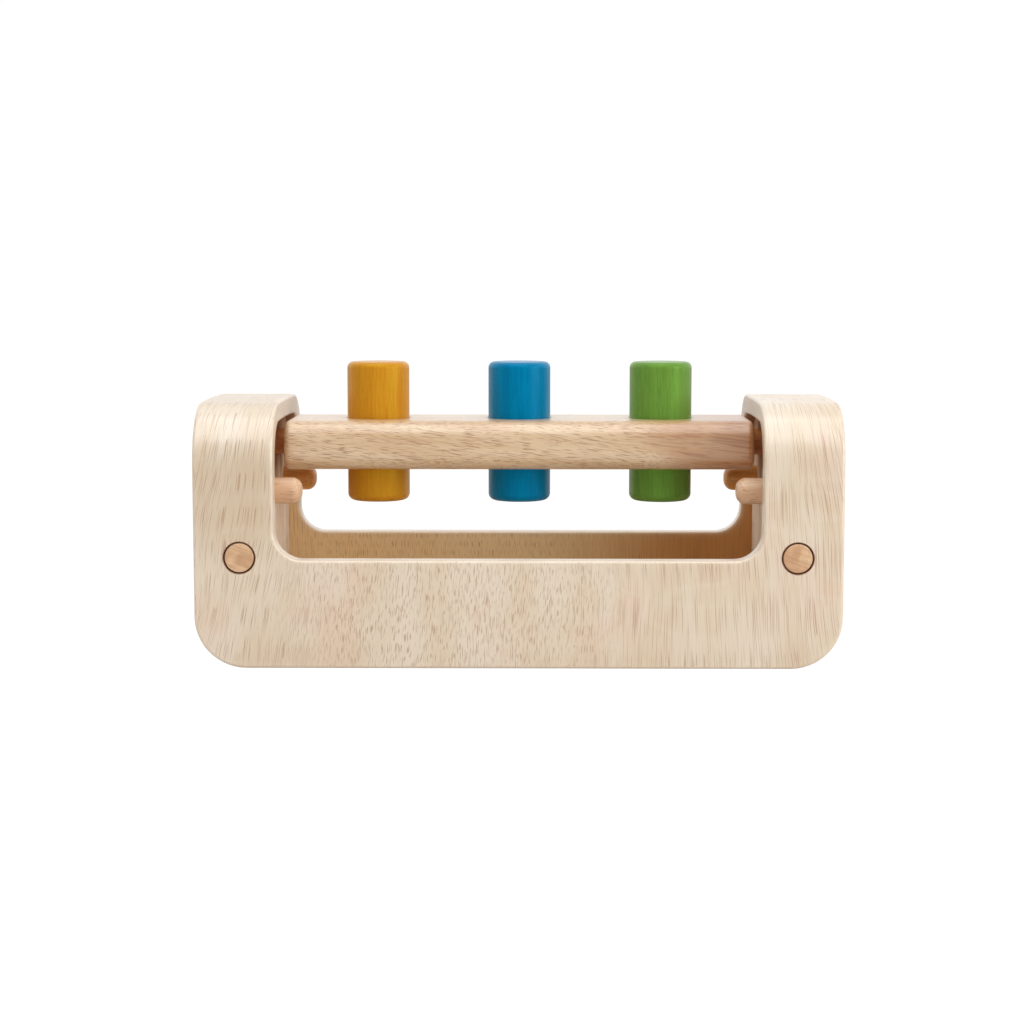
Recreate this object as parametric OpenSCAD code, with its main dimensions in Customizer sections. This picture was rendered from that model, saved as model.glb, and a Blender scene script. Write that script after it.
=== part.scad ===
// Peg pounding bench: a bent-wood bench shell with two end cheeks, a turning bar and three pegs.
// Millimetres. X runs along the bench, -Y is the front, Z is up, the floor is Z = 0.

/* [Bench shell] */
// Overall width of the shell
shell_w = 250; // [220:1:300]
// Overall depth, front face to back face
shell_d = 104; // [96:1:130]
// Height of the end arches
shell_h = 102; // [96:1:125]
// Thickness of the bent sheet
shell_t = 8; // [6:0.5:10]
// Outer radius of the bend between panel and top
bend_r = 23; // [18:0.5:30]
// Outer radius of the slight crown across the top
crown_r = 1200; // [500:50:2000]
// Radius of the four lower corners of the panels
foot_corner_r = 20; // [8:0.5:26]

/* [Window between the arches] */
// Width of each end arch, from the shell's end to the window
arch_w = 31; // [26:0.5:40]
// Height of the low front and back panels
sill_h = 42; // [34:1:48]
// Radius of the window's lower corners
window_corner_r = 11; // [4:0.5:16]

/* [Cheeks] */
// Thickness of the end boards inside the arches
cheek_t = 17; // [15:0.5:20]
// Step from the window's side back to the cheek's inner face
cheek_reveal = 4.8; // [2:0.1:7]
// Height of the cheek's lower end above the floor
cheek_lift = 6; // [4:0.5:14]
// Glue line between cheek and shell
glue_line = 0.1; // [0.05:0.01:0.2]

/* [Turning bar] */
// Depth of the bar, across its width
bar_d = 50; // [44:0.5:54]
// Thickness of the bar
bar_t = 19.5; // [17:0.5:24]
// Rounding of the bar's long edges
bar_edge_r = 7; // [3:0.5:8]
// Rounding of the bar's end edges
bar_end_r = 2.5; // [1:0.1:4]
// Running gap between the bar's end and the window's side
bar_end_gap = 1; // [0.6:0.1:2]
// Distance from the top of the arches down to the bar's axis
axle_drop = 18; // [17:0.5:22]

/* [Axle dowels] */
// Diameter of the two axle dowels
axle_dia = 10.4; // [8:0.2:11]
// Wood left in the bar between the axle dowel and the groove of the outer grip ring
axle_wall = 2; // [1:0.1:4]
// Depth of the axle dowel inside the cheek
axle_in_cheek = 12; // [8:0.5:14]
// Radial running clearance of the axle in the cheek
axle_play = 0.08; // [0.03:0.01:0.1]
// Gap between the axle dowel's end and the bottom of its bore
axle_end_gap = 1; // [0.5:0.1:2]
// Chamfer on the ends of the axle and fixing dowels
dowel_chamfer = 0.8; // [0.4:0.1:1.2]
// Radial clearance of a glued dowel in its hole
glue_fit = 0.05; // [0.02:0.01:0.1]

/* [Stop dowels] */
// Diameter of the four stop dowels under the bar
stop_dia = 10.4; // [8:0.2:12]
// Length of the stop dowel that stands out of the cheek
stop_reach = 13.6; // [10:0.2:16]
// Depth of the stop dowel inside the cheek
stop_in_cheek = 12; // [8:0.5:14]
// Rounding of the stop dowel's tip
stop_tip_r = 4; // [1:0.2:4]
// Clearance between the turning bar's edge and the stop dowels
stop_gap = 2.8; // [1:0.1:4]
// Angle of the stop dowels below the bar's axis, seen from the end
stop_angle = 31.4; // [24:0.2:40]

/* [Pegs] */
// Diameter of the pegs
peg_dia = 25; // [20:0.5:27]
// Length of the pegs
peg_l = 56; // [48:1:62]
// Distance from the bar's end to the axis of the outer peg
peg_end = 36; // [32:0.5:45]
// Height that a peg stands above the bar at rest
peg_stand = 22.6; // [12:0.1:25]
// Rounding of a peg's upper edge
peg_top_r = 2.4; // [1:0.1:4]
// Rounding of a peg's lower edge
peg_foot_r = 2.8; // [1:0.1:4]
// Radial clearance of a peg in the bar's hole
peg_play = 0.3; // [0.2:0.05:0.5]
// Chamfer round the rim of the bar's holes
hole_chamfer = 0.6; // [0.3:0.1:1]

/* [Grip rings] */
// Radial thickness of the rubber ring that grips a peg
ring_t = 2.6; // [1.8:0.1:3.5]
// Height of the rubber ring
ring_h = 5; // [3:0.5:7]
// Rounding of the ring's section
ring_edge_r = 0.8; // [0.3:0.1:0.8]
// Radial clearance of the ring on the peg
ring_play = 0.05; // [0.03:0.01:0.1]

/* [Fixing dowels] */
// Diameter of the dowels that pin the panels to the cheeks
pin_dia = 11.3; // [9:0.1:13]
// Length of the fixing dowels
pin_l = 30; // [22:1:36]
// Distance from the stop dowels' axes down to the fixing dowels
pin_drop = 23.7; // [18:0.1:28]
// Open ring between fixing dowel and panel
pin_ring = 0.4; // [0.2:0.05:0.6]
// Rounding of the fixing dowel's visible edge
pin_face_r = 0.5; // [0.3:0.1:0.8]

/* [Hidden] */
$fn = 96;
// Facets of the crown's large circle
crown_facets = 1440;
// Lap of the rounded shoulders over the crown
crown_lap = 0.004;
// Overshoot of a cutter past the face it opens
cut = 1;
half_w = shell_w / 2;
half_d = shell_d / 2;
window_half = half_w - arch_w;
cheek_x = window_half + cheek_reveal;
pin_x = cheek_x + cheek_t / 2;
axle_h = shell_h - axle_drop;
bar_l = 2 * (window_half - bar_end_gap);
bar_top = axle_h + bar_t / 2;
bar_swing_r = norm([bar_d / 2 - bar_edge_r, bar_t / 2 - bar_edge_r]) + bar_edge_r;
stop_r = bar_swing_r + stop_gap + stop_dia / 2;
stop_y = stop_r * cos(stop_angle);
stop_h = axle_h - stop_r * sin(stop_angle);
pin_h = stop_h - pin_drop;
hole_r = peg_dia / 2 + peg_play;
ring_in_r = peg_dia / 2 + ring_play;
ring_out_r = ring_in_r + ring_t;
peg_pitch = bar_l / 2 - peg_end;
axle_in_bar = peg_end - ring_out_r - glue_fit - axle_wall;
peg_foot_h = bar_top + peg_stand - peg_l;
SIDES = [-1, 1];
PEG_SPOTS = [-1, 0, 1];
SHELL_COLOUR = "#e3d0b1";
CHEEK_COLOUR = "#cdb295";
BAR_COLOUR = "#d8b58a";
DOWEL_COLOUR = "#cfa37c";
RING_COLOUR = "#2b2b2b";

// Rectangle w by h about the origin with all four corners rounded
module rounded_rect(w, h, r) {
    square([w - 2 * r, h], center = true);
    square([w, h - 2 * r], center = true);
    for (sx = SIDES, sy = SIDES)
        translate([sx * (w / 2 - r), sy * (h / 2 - r)])
            circle(r);
}

// Upright outline w wide, from low to high, its crowned top running into two rounded shoulders
module arch_outline(w, low, high, r, crown) {
    bend_y = w / 2 - r;
    bend_h = high - crown + sqrt(pow(crown - r + crown_lap, 2) - pow(bend_y, 2));
    crown_half = bend_y * crown / (crown - r);
    translate([-w / 2, low])
        square([w, bend_h - low]);
    intersection() {
        translate([0, high - crown])
            circle(crown, $fn = crown_facets);
        translate([-crown_half, low])
            square([2 * crown_half, high - low + cut]);
    }
    for (s = SIDES)
        translate([s * bend_y, bend_h])
            circle(r);
}

// Upright outline w wide, from low to high, with its two lower corners rounded
module tub_outline(w, low, high, r) {
    translate([-w / 2, low + r])
        square([w, high - low - r]);
    translate([r - w / 2, low])
        square([w - 2 * r, high - low]);
    for (s = SIDES)
        translate([s * (w / 2 - r), low + r])
            circle(r);
}

// Carries an outline drawn in Y and Z along X, from x = 0 to x = length
module along_x(length) {
    rotate([90, 0, 90])
        linear_extrude(length)
            children();
}

// Carries an outline drawn in X and Z along Y, centred on y = 0
module along_y(length) {
    rotate([90, 0, 0])
        linear_extrude(length, center = true)
            children();
}

// Round rod on the X axis from x = 0 to x = length, both ends chamfered
module dowel(dia, length, chamfer) {
    rotate([0, 90, 0])
        rotate_extrude()
            polygon([
                [0, 0],
                [dia / 2 - chamfer, 0],
                [dia / 2, chamfer],
                [dia / 2, length - chamfer],
                [dia / 2 - chamfer, length],
                [0, length]
            ]);
}

// Blank of half a turned section: radius r from z = 0 to z = length, edges rounded by foot_r and top_r
module turned_half(r, length, foot_r, top_r) {
    square([r - max(foot_r, top_r), length]);
    translate([0, foot_r])
        square([r, length - foot_r - top_r]);
    translate([0, length - 2 * top_r])
        square([r - top_r, 2 * top_r]);
    square([r - foot_r, 2 * foot_r]);
    translate([r - foot_r, foot_r])
        circle(foot_r);
    translate([r - top_r, length - top_r])
        circle(top_r);
}

// Bent sheet: arch section along X, lower corners rounded, window cut through front, top and back
module bench_shell() {
    color(SHELL_COLOUR)
        difference() {
            intersection() {
                translate([-half_w, 0, 0])
                    along_x(shell_w)
                        arch_outline(shell_d, 0, shell_h, bend_r, crown_r);
                along_y(shell_d + 2 * cut)
                    tub_outline(shell_w, 0, shell_h + cut, foot_corner_r);
            }
            translate([-half_w - cut, 0, 0])
                along_x(shell_w + 2 * cut)
                    arch_outline(
                        shell_d - 2 * shell_t, -cut, shell_h - shell_t, bend_r - shell_t, crown_r - shell_t
                    );
            along_y(shell_d + 2 * cut)
                tub_outline(2 * window_half, sill_h, shell_h + cut, window_corner_r);
            for (side = SIDES)
                translate([side * pin_x, 0, pin_h])
                    rotate([90, 0, 0])
                        cylinder(h = shell_d + 2 * cut, r = pin_dia / 2 + pin_ring, center = true);
        }
}

// End board glued inside an arch, drilled for the axle, two stop dowels and two fixing dowels
module cheek(side) {
    skin_t = shell_t + glue_line;
    board_d = shell_d - 2 * skin_t;
    board_top = shell_h - skin_t;
    color(CHEEK_COLOUR)
        mirror([side < 0 ? 1 : 0, 0, 0])
            difference() {
                translate([cheek_x, 0, 0])
                    along_x(cheek_t)
                        arch_outline(board_d, cheek_lift, board_top, bend_r - skin_t, crown_r - skin_t);
                translate([cheek_x - cut, 0, axle_h])
                    rotate([0, 90, 0])
                        cylinder(h = cut + axle_in_cheek + axle_end_gap, r = axle_dia / 2 + axle_play);
                for (back = SIDES)
                    translate([cheek_x - cut, back * stop_y, stop_h])
                        rotate([0, 90, 0])
                            cylinder(h = stop_in_cheek + cut, r = stop_dia / 2 + glue_fit);
                for (back = SIDES)
                    translate([pin_x, back * (half_d - pin_l / 2), pin_h])
                        rotate([90, 0, 0])
                            cylinder(h = pin_l, r = pin_dia / 2 + glue_fit, center = true);
            }
}

module left_cheek() {
    cheek(-1);
}

module right_cheek() {
    cheek(1);
}

// Short dowel with a rounded tip that stands out of the cheek below the bar's edge
module stop_dowel(side, back) {
    color(DOWEL_COLOUR)
        translate([side * (cheek_x + stop_in_cheek), back * stop_y, stop_h])
            rotate([0, -90 * side, 0])
                rotate_extrude()
                    intersection() {
                        turned_half(stop_dia / 2, stop_in_cheek + stop_reach, dowel_chamfer, stop_tip_r);
                        square([stop_dia, stop_in_cheek + stop_reach]);
                    }
}

module left_front_stop() {
    stop_dowel(-1, -1);
}

module left_back_stop() {
    stop_dowel(-1, 1);
}

module right_front_stop() {
    stop_dowel(1, -1);
}

module right_back_stop() {
    stop_dowel(1, 1);
}

// Dowel through the panel into the cheek, its rounded end grain flush with the panel's face
module fixing_pin(side, back) {
    color(DOWEL_COLOUR)
        translate([side * pin_x, back * (half_d - pin_l), pin_h])
            rotate([-90 * back, 0, 0])
                rotate_extrude()
                    intersection() {
                        turned_half(pin_dia / 2, pin_l, dowel_chamfer, pin_face_r);
                        square([pin_dia, pin_l]);
                    }
}

module left_front_pin() {
    fixing_pin(-1, -1);
}

module left_back_pin() {
    fixing_pin(-1, 1);
}

module right_front_pin() {
    fixing_pin(1, -1);
}

module right_back_pin() {
    fixing_pin(1, 1);
}

// One peg hole through the bar, about z = 0, with eased rims and a groove for the grip ring
module peg_hole() {
    cylinder(h = bar_t + 2 * cut, r = hole_r, center = true);
    for (s = SIDES)
        mirror([0, 0, s < 0 ? 1 : 0])
            translate([0, 0, bar_t / 2 - hole_chamfer])
                cylinder(h = hole_chamfer + cut, r1 = hole_r, r2 = hole_r + hole_chamfer + cut);
    cylinder(h = ring_h + 2 * glue_fit, r = ring_out_r + glue_fit, center = true);
}

// Half section of a bar's end: half wide at y = 0, as high as the rounding r of its outer edge
module end_half(half, r) {
    square([half - r, r]);
    intersection() {
        translate([half - r, 0])
            circle(r);
        square([half, r]);
    }
}

// Full section of a bar's end, w wide
module end_section(w, r) {
    end_half(w / 2, r);
    mirror([1, 0])
        end_half(w / 2, r);
}

// Rounded end of the bar, from x = 0 outwards: four turned corners with straight runs between them
module bar_end() {
    flat_d = bar_d - 2 * bar_edge_r;
    flat_t = bar_t - 2 * bar_edge_r;
    for (sy = SIDES, sz = SIDES)
        translate([0, sy * flat_d / 2, sz * flat_t / 2])
            rotate([0, 90, 0])
                rotate_extrude()
                    end_half(bar_edge_r, bar_end_r);
    rotate([0, 0, -90])
        linear_extrude(flat_t, center = true)
            end_section(bar_d, bar_end_r);
    rotate([90, 0, 0])
        rotate([0, 0, -90])
            linear_extrude(flat_d, center = true)
                end_section(bar_t, bar_end_r);
}

// Rounded bar with three peg holes and a blind hole in each end for its axle dowel
module peg_bar() {
    straight_l = bar_l - 2 * bar_end_r;
    color(BAR_COLOUR)
        translate([0, 0, axle_h])
            difference() {
                union() {
                    translate([-straight_l / 2, 0, 0])
                        along_x(straight_l)
                            rounded_rect(bar_d, bar_t, bar_edge_r);
                    for (side = SIDES)
                        mirror([side < 0 ? 1 : 0, 0, 0])
                            translate([straight_l / 2, 0, 0])
                                bar_end();
                }
                for (spot = PEG_SPOTS)
                    translate([spot * peg_pitch, 0, 0])
                        peg_hole();
                for (side = SIDES)
                    mirror([side < 0 ? 1 : 0, 0, 0])
                        translate([bar_l / 2 - axle_in_bar, 0, 0])
                            rotate([0, 90, 0])
                                cylinder(h = axle_in_bar + cut, r = axle_dia / 2 + glue_fit);
            }
}

// Dowel glued into the bar's end, turning in the cheek
module axle(side) {
    color(DOWEL_COLOUR)
        mirror([side < 0 ? 1 : 0, 0, 0])
            translate([bar_l / 2 - axle_in_bar, 0, axle_h])
                dowel(axle_dia, cheek_x + axle_in_cheek - bar_l / 2 + axle_in_bar, dowel_chamfer);
}

module left_axle() {
    axle(-1);
}

module right_axle() {
    axle(1);
}

// Rubber ring in the groove of a peg hole, which holds the peg by friction
module grip_ring(spot) {
    color(RING_COLOUR)
        translate([spot * peg_pitch, 0, axle_h])
            rotate_extrude()
                translate([ring_in_r + ring_t / 2, 0])
                    rounded_rect(ring_t, ring_h, ring_edge_r);
}

module left_grip_ring() {
    grip_ring(-1);
}

module middle_grip_ring() {
    grip_ring(0);
}

module right_grip_ring() {
    grip_ring(1);
}

// Turned peg with rounded ends
module peg(spot, colour) {
    color(colour)
        translate([spot * peg_pitch, 0, peg_foot_h])
            rotate_extrude()
                intersection() {
                    turned_half(peg_dia / 2, peg_l, peg_foot_r, peg_top_r);
                    square([peg_dia, peg_l]);
                }
}

module yellow_peg() {
    peg(-1, "#d2952a");
}

module blue_peg() {
    peg(0, "#0d7aa8");
}

module green_peg() {
    peg(1, "#67993d");
}

bench_shell();
left_cheek();
right_cheek();
left_front_stop();
left_back_stop();
right_front_stop();
right_back_stop();
left_front_pin();
left_back_pin();
right_front_pin();
right_back_pin();
peg_bar();
left_axle();
right_axle();
left_grip_ring();
middle_grip_ring();
right_grip_ring();
yellow_peg();
blue_peg();
green_peg();
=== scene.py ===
"""Peg pounding bench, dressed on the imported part: metres, +X to the right, -Y to the front, +Z up."""

import logging
import math
from dataclasses import dataclass, field
from enum import Enum

import bmesh
import bpy
import numpy as np
from mathutils import Euler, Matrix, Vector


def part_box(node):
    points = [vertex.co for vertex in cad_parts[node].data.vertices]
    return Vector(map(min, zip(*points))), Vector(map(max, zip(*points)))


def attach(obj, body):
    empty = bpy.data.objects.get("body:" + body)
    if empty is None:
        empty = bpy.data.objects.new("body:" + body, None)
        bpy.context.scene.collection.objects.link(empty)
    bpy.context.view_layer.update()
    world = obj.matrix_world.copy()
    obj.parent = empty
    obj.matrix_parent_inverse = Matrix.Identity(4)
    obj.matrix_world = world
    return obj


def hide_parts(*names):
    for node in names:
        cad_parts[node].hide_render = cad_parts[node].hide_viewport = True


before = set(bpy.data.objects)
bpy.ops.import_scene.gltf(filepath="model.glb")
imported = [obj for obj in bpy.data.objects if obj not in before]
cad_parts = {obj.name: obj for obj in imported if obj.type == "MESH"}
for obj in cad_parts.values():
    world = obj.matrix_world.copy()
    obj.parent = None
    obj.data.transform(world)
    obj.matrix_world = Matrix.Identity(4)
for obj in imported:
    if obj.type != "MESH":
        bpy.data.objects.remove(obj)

Array = np.ndarray
Socket = bpy.types.NodeSocket
Source = Socket | float | tuple[float, ...]
Colour = tuple[float, float, float, float]
Cell = tuple[float, float, float]
Span = tuple[float, float]

LOG = logging.getLogger("bench")
WELD = 1e-7
QUARTER_TURN = math.pi / 2
RANGE_SOCKETS = ("From Min", "From Max", "To Min", "To Max")
# Factor, A and B of a Mix node that mixes colours, and its result.
MIX_SOCKETS = (0, 6, 7)
MIX_RESULT = 2
# Where most of a soft noise lies, and where nearly all of it does.
NOISE_SPAN: Span = (0.3, 0.7)
WIDE_NOISE_SPAN: Span = (0.25, 0.75)


def tone(red: int, green: int, blue: int) -> Colour:
    """Turns a screen colour into the linear one that a shader takes.

    Args:
        red, green, blue: The colour as it looks on a screen, each from 0 to 255.

    Returns:
        The linear colour with full opacity.
    """
    screen = np.array((red, green, blue)) / 255
    linear = np.where(screen <= 0.04045, screen / 12.92, ((screen + 0.055) / 1.055) ** 2.4)
    return (*(float(part) for part in linear), 1.0)


class Grain(Enum):
    """The axis that a solid piece's fibres run along, as the order that brings it to the second place."""

    ALONG_X = ("Y", "X", "Z")
    ALONG_Z = ("X", "Z", "Y")


class Recipe:
    """Node tree of one finish, which grows step by step towards a principled shader."""

    def __init__(self, name: str, **settings: float | Colour) -> None:
        """Starts the finish.

        Args:
            name: The material's name.
            settings: Values that are the same all over, by shader socket, with _ for a space.
        """
        self.material = bpy.data.materials.new(name)
        self.material.use_nodes = True
        self.tree = self.material.node_tree
        self.tree.nodes.clear()
        self.shader = self.add("ShaderNodeBsdfPrincipled")
        out = self.add("ShaderNodeOutputMaterial")
        self.tree.links.new(self.shader.outputs["BSDF"], out.inputs["Surface"])
        for socket, value in settings.items():
            self.shader.inputs[socket.replace("_", " ")].default_value = value

    def add(self, kind: str, **settings: str | bool) -> bpy.types.Node:
        """Adds one node.

        Args:
            kind: The node's type name.
            settings: Its properties.

        Returns:
            The node.
        """
        node = self.tree.nodes.new(kind)
        for name, value in settings.items():
            setattr(node, name, value)
        return node

    def feed(self, socket: Socket, source: Source) -> None:
        """Links a source to a socket, or sets the socket where the source is a plain value.

        Args:
            socket: The input to fill.
            source: Another node's output, a number or a colour.
        """
        if isinstance(source, bpy.types.NodeSocket):
            self.tree.links.new(source, socket)
        else:
            socket.default_value = source

    def worked(self, kind: str, operation: str, sources: tuple[Source, ...]) -> Socket:
        """Works out one operation.

        Args:
            kind: Type name of the node that does it.
            operation: What it does.
            sources: Up to three inputs.

        Returns:
            The result.
        """
        node = self.add(kind, operation=operation)
        for socket, source in zip(node.inputs, sources):
            self.feed(socket, source)
        return node.outputs[0]

    def math(self, operation: str, *sources: Source) -> Socket:
        """Returns the result of a Math node on up to three sources."""
        return self.worked("ShaderNodeMath", operation, sources)

    def vector(self, operation: str, *sources: Source) -> Socket:
        """Returns the result of a Vector Math node on up to three sources."""
        return self.worked("ShaderNodeVectorMath", operation, sources)

    def place(self) -> Socket:
        """Returns the point's place in the part's frame, in metres."""
        return self.add("ShaderNodeTexCoord").outputs["Object"]

    def kept(self, name: str) -> bpy.types.Node:
        """Returns the node that reads a value kept on the mesh."""
        return self.add("ShaderNodeAttribute", attribute_name=name)

    def parts(self, vector: Socket) -> dict[str, Socket]:
        """Takes a vector apart.

        Args:
            vector: The vector.

        Returns:
            Its parts, named X, Y and Z.
        """
        node = self.add("ShaderNodeSeparateXYZ")
        self.feed(node.inputs[0], vector)
        return {axis: node.outputs[axis] for axis in "XYZ"}

    def joined(self, x: Source, y: Source, z: Source) -> Socket:
        """Joins three parts.

        Args:
            x, y, z: The parts.

        Returns:
            The vector.
        """
        node = self.add("ShaderNodeCombineXYZ")
        for socket, source in zip(node.inputs, (x, y, z)):
            self.feed(socket, source)
        return node.outputs[0]

    def noise(self, vector: Socket, cell: Cell, detail: float = 2.0, shift: float = 0.0) -> Socket:
        """Lays soft noise in stretched cells.

        Args:
            vector: The place, in metres.
            cell: Size of a cell along each axis, in metres.
            detail: Number of finer layers.
            shift: Offset that gives another sample, in cells.

        Returns:
            The noise, about 0.5 on average.
        """
        node = self.add("ShaderNodeTexNoise")
        per_metre = tuple(1 / side for side in cell)
        counted = self.vector("MULTIPLY_ADD", vector, per_metre, (shift, shift, shift))
        self.feed(node.inputs["Vector"], counted)
        node.inputs["Scale"].default_value = 1.0
        node.inputs["Detail"].default_value = detail
        return node.outputs["Fac"]

    def ramp(
        self, source: Socket, low: float, high: float, to_low: float = 0.0, to_high: float = 1.0,
    ) -> Socket:
        """Carries a value from one range to another with soft ends.

        Args:
            source: The value.
            low, high: The range that it comes from. Outside it the result stays level.
            to_low, to_high: The range that it goes to.

        Returns:
            The value in its new range.
        """
        node = self.add("ShaderNodeMapRange", interpolation_type="SMOOTHSTEP")
        self.feed(node.inputs["Value"], source)
        for name, value in zip(RANGE_SOCKETS, (low, high, to_low, to_high)):
            node.inputs[name].default_value = value
        return node.outputs["Result"]

    def blend(self, share: Source, first: Source, second: Source) -> Socket:
        """Mixes two colours.

        Args:
            share: Share of the second colour, from 0 to 1.
            first, second: The colours.

        Returns:
            The mixed colour.
        """
        node = self.add("ShaderNodeMix", data_type="RGBA")
        for number, source in zip(MIX_SOCKETS, (share, first, second)):
            self.feed(node.inputs[number], source)
        return node.outputs[MIX_RESULT]

    def finish(self, colour: Socket, roughness: Socket, height: Socket, relief: float) -> bpy.types.Material:
        """Feeds the shader.

        Args:
            colour: Base colour.
            roughness: Roughness.
            height: Relief from 0 to 1.
            relief: Height of a full step of the relief, in metres.

        Returns:
            The finished material.
        """
        bump = self.add("ShaderNodeBump")
        bump.inputs["Strength"].default_value = 1.0
        bump.inputs["Distance"].default_value = relief
        self.feed(bump.inputs["Height"], height)
        self.feed(self.shader.inputs["Base Color"], colour)
        self.feed(self.shader.inputs["Roughness"], roughness)
        self.feed(self.shader.inputs["Normal"], bump.outputs["Normal"])
        return self.material


@dataclass(frozen=True)
class Vessels:
    """Open vessels of the wood, seen as fine dashes along the grain and as dots on end grain."""

    across: float
    along: float
    level: float
    soft: float = 0.07
    shift: float = 0.0

    def lay(self, mix: Recipe, grain: Socket, crowd: Source) -> Socket:
        """Lays a dash wherever stretched noise, raised by the crowding, stands above a level.

        Args:
            mix: The finish to add to.
            grain: Place as (across, along the grain, through), in metres.
            crowd: What is added to the noise, so that dashes gather in clusters.

        Returns:
            1 in a dash, falling softly to 0 round it.
        """
        height = mix.noise(grain, (self.across, self.along, self.across), 0.0, self.shift)
        return mix.ramp(mix.math("ADD", height, crowd), self.level, self.level + self.soft)


@dataclass(frozen=True)
class SheetWood:
    """Pale bent sheet: vessels that follow the bend, clouds of pink and cream, plies on the cut edges, and
    painted light and shade on the left arch and the inner faces.
    """

    pale: Colour = tone(230, 216, 195)
    cream: Colour = tone(222, 203, 175)
    pink: Colour = tone(229, 202, 180)
    # deep: painted shade on the left arch.
    deep: Colour = tone(206, 184, 152)
    vessel: Colour = tone(156, 92, 38)
    # Dark brown on the walls of the pin holes, which darkens the gap round each pin.
    hole_wall_dark: Colour = tone(118, 60, 24)
    # shade: painted shade under the top of the inner faces.
    shade: Colour = tone(140, 84, 44)
    # inner: the warm bounce light of the trough, painted on the inner faces as colour.
    inner: Colour = tone(255, 218, 156)
    # inner_right_shade: painted shade towards the right end of the inner faces.
    inner_right_shade: Colour = tone(202, 130, 14)
    edge: Colour = tone(238, 222, 200)
    glue: Colour = tone(176, 142, 112)
    coat: float = 0.62
    inner_coat: float = 0.08
    roughness: Span = (0.34, 0.46)
    relief: float = 0.000015
    slant: float = 0.03
    slant_change: float = -0.95
    drift_cell: Cell = (0.040, 0.070, 0.03)
    drift_reach: float = 0.007
    cloud_cell: Cell = (0.020, 0.060, 0.02)
    blush_cell: Cell = (0.022, 0.040, 0.02)
    blush_share: float = 0.5
    figure_cell: Cell = (0.034, 0.016, 0.02)
    figure_bands: float = 7.0
    figure_share: float = 0.35
    fibre_cell: Cell = (0.00035, 0.022, 0.0006)
    fibre_share: float = 0.17
    fibre_height: float = 0.25
    cluster_cell: Cell = (0.010, 0.026, 0.02)
    crowding: Span = (-0.025, 0.012)
    streaks: Vessels = Vessels(0.00026, 0.0130, 0.598)
    dashes: Vessels = Vessels(0.00026, 0.0038, 0.602, shift=7.3)
    lines: Vessels = Vessels(0.00026, 0.0220, 0.602, shift=3.1)
    streaks_span: Span = (-0.070, -0.098)
    lines_span: Span = (0.005, 0.050)
    border_reach: float = 0.07
    strength: float = 0.5
    arch_span: Span = (0.110, 0.085)
    left_span: Span = (-0.08, -0.10)
    left_shade_share: float = 0.6
    bend_at: float = 0.049
    highlight_span: Span = (0.006, 0.018)
    right_shade_span: Span = (0.0, 0.075)
    shade_span: Span = (0.09, 0.07)
    inner_depth: Span = (0.0070, 0.0079)
    back_span: Span = (-0.05, 0.05)
    back_share: Span = (0.35, 0.85)
    cheek_span: Span = (0.110, 0.100)
    ply: float = 0.00133
    ply_share: float = 0.22
    seam_span: Span = (0.00020, 0.00004)
    seam_share: float = 0.5
    edge_span: Span = (0.6, 1.0)
    edge_share: float = 0.6
    hole_span: Span = (0.0, -0.5)

    def material(self) -> bpy.types.Material:
        """Builds the finish from the sheet's own flat coordinates.

        Returns:
            The material. It reads the kept values sheet, which is (x, length along the bend, depth), and
            edge, which is 1 on a cut edge, 0 on a face and -1 in a pin hole.
        """
        mix = Recipe("shell_wood", Coat_Roughness=0.3, Coat_IOR=2.1)
        flat = mix.kept("sheet").outputs["Vector"]
        edge = mix.kept("edge").outputs["Fac"]
        at = mix.parts(flat)
        lean = mix.math("MULTIPLY_ADD", at["X"], self.slant_change, self.slant)
        drift = mix.math("SUBTRACT", mix.noise(flat, self.drift_cell, 1.0), 0.5)
        upright = mix.math("MULTIPLY_ADD", mix.math("MULTIPLY", lean, at["Y"]), -1.0, at["X"])
        across = mix.math("MULTIPLY_ADD", drift, self.drift_reach, upright)
        grain = mix.joined(across, at["Y"], at["Z"])
        vessels = self.vessels(mix, grain, at["X"], drift)
        colour, fibre = self.ground(mix, grain)
        colour = self.left_arch_painted_shade(mix, colour, at)
        colour = self.inner_painted_light(mix, colour, at)
        colour = mix.blend(mix.math("MULTIPLY", vessels, self.strength), colour, self.vessel)
        colour = self.cut_edge(mix, colour, edge, at["Z"])
        # Dark brown laid on the pin holes' walls.
        colour = mix.blend(mix.ramp(edge, *self.hole_span), colour, self.hole_wall_dark)
        roughness = mix.ramp(fibre, *NOISE_SPAN, *self.roughness)
        height = mix.math("SUBTRACT", mix.math("MULTIPLY", fibre, self.fibre_height), vessels)
        return mix.finish(colour, roughness, height, self.relief)

    def ground(self, mix: Recipe, grain: Socket) -> tuple[Socket, Socket]:
        """Lays the wood without its vessels: cream clouds, pink patches, soft bands and fine fibres.

        Args:
            mix: The finish to add to.
            grain: Place along the grain, in metres.

        Returns:
            The colour and the fibres.
        """
        cloud = mix.noise(grain, self.cloud_cell)
        blush = mix.noise(grain, self.blush_cell, shift=11.7)
        figure = mix.noise(grain, self.figure_cell, 1.0, 5.2)
        fibre = mix.noise(grain, self.fibre_cell)
        colour = mix.blend(mix.ramp(cloud, 0.36, 0.66), self.pale, self.cream)
        colour = mix.blend(mix.ramp(blush, 0.48, 0.72, 0.0, self.blush_share), colour, self.pink)
        bands = mix.math("PINGPONG", mix.math("MULTIPLY", figure, self.figure_bands), 1.0)
        colour = mix.blend(mix.ramp(bands, 0.55, 1.0, 0.0, self.figure_share), colour, self.pale)
        return mix.blend(mix.ramp(fibre, 0.45, 0.8, 0.0, self.fibre_share), colour, self.vessel), fibre

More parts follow.
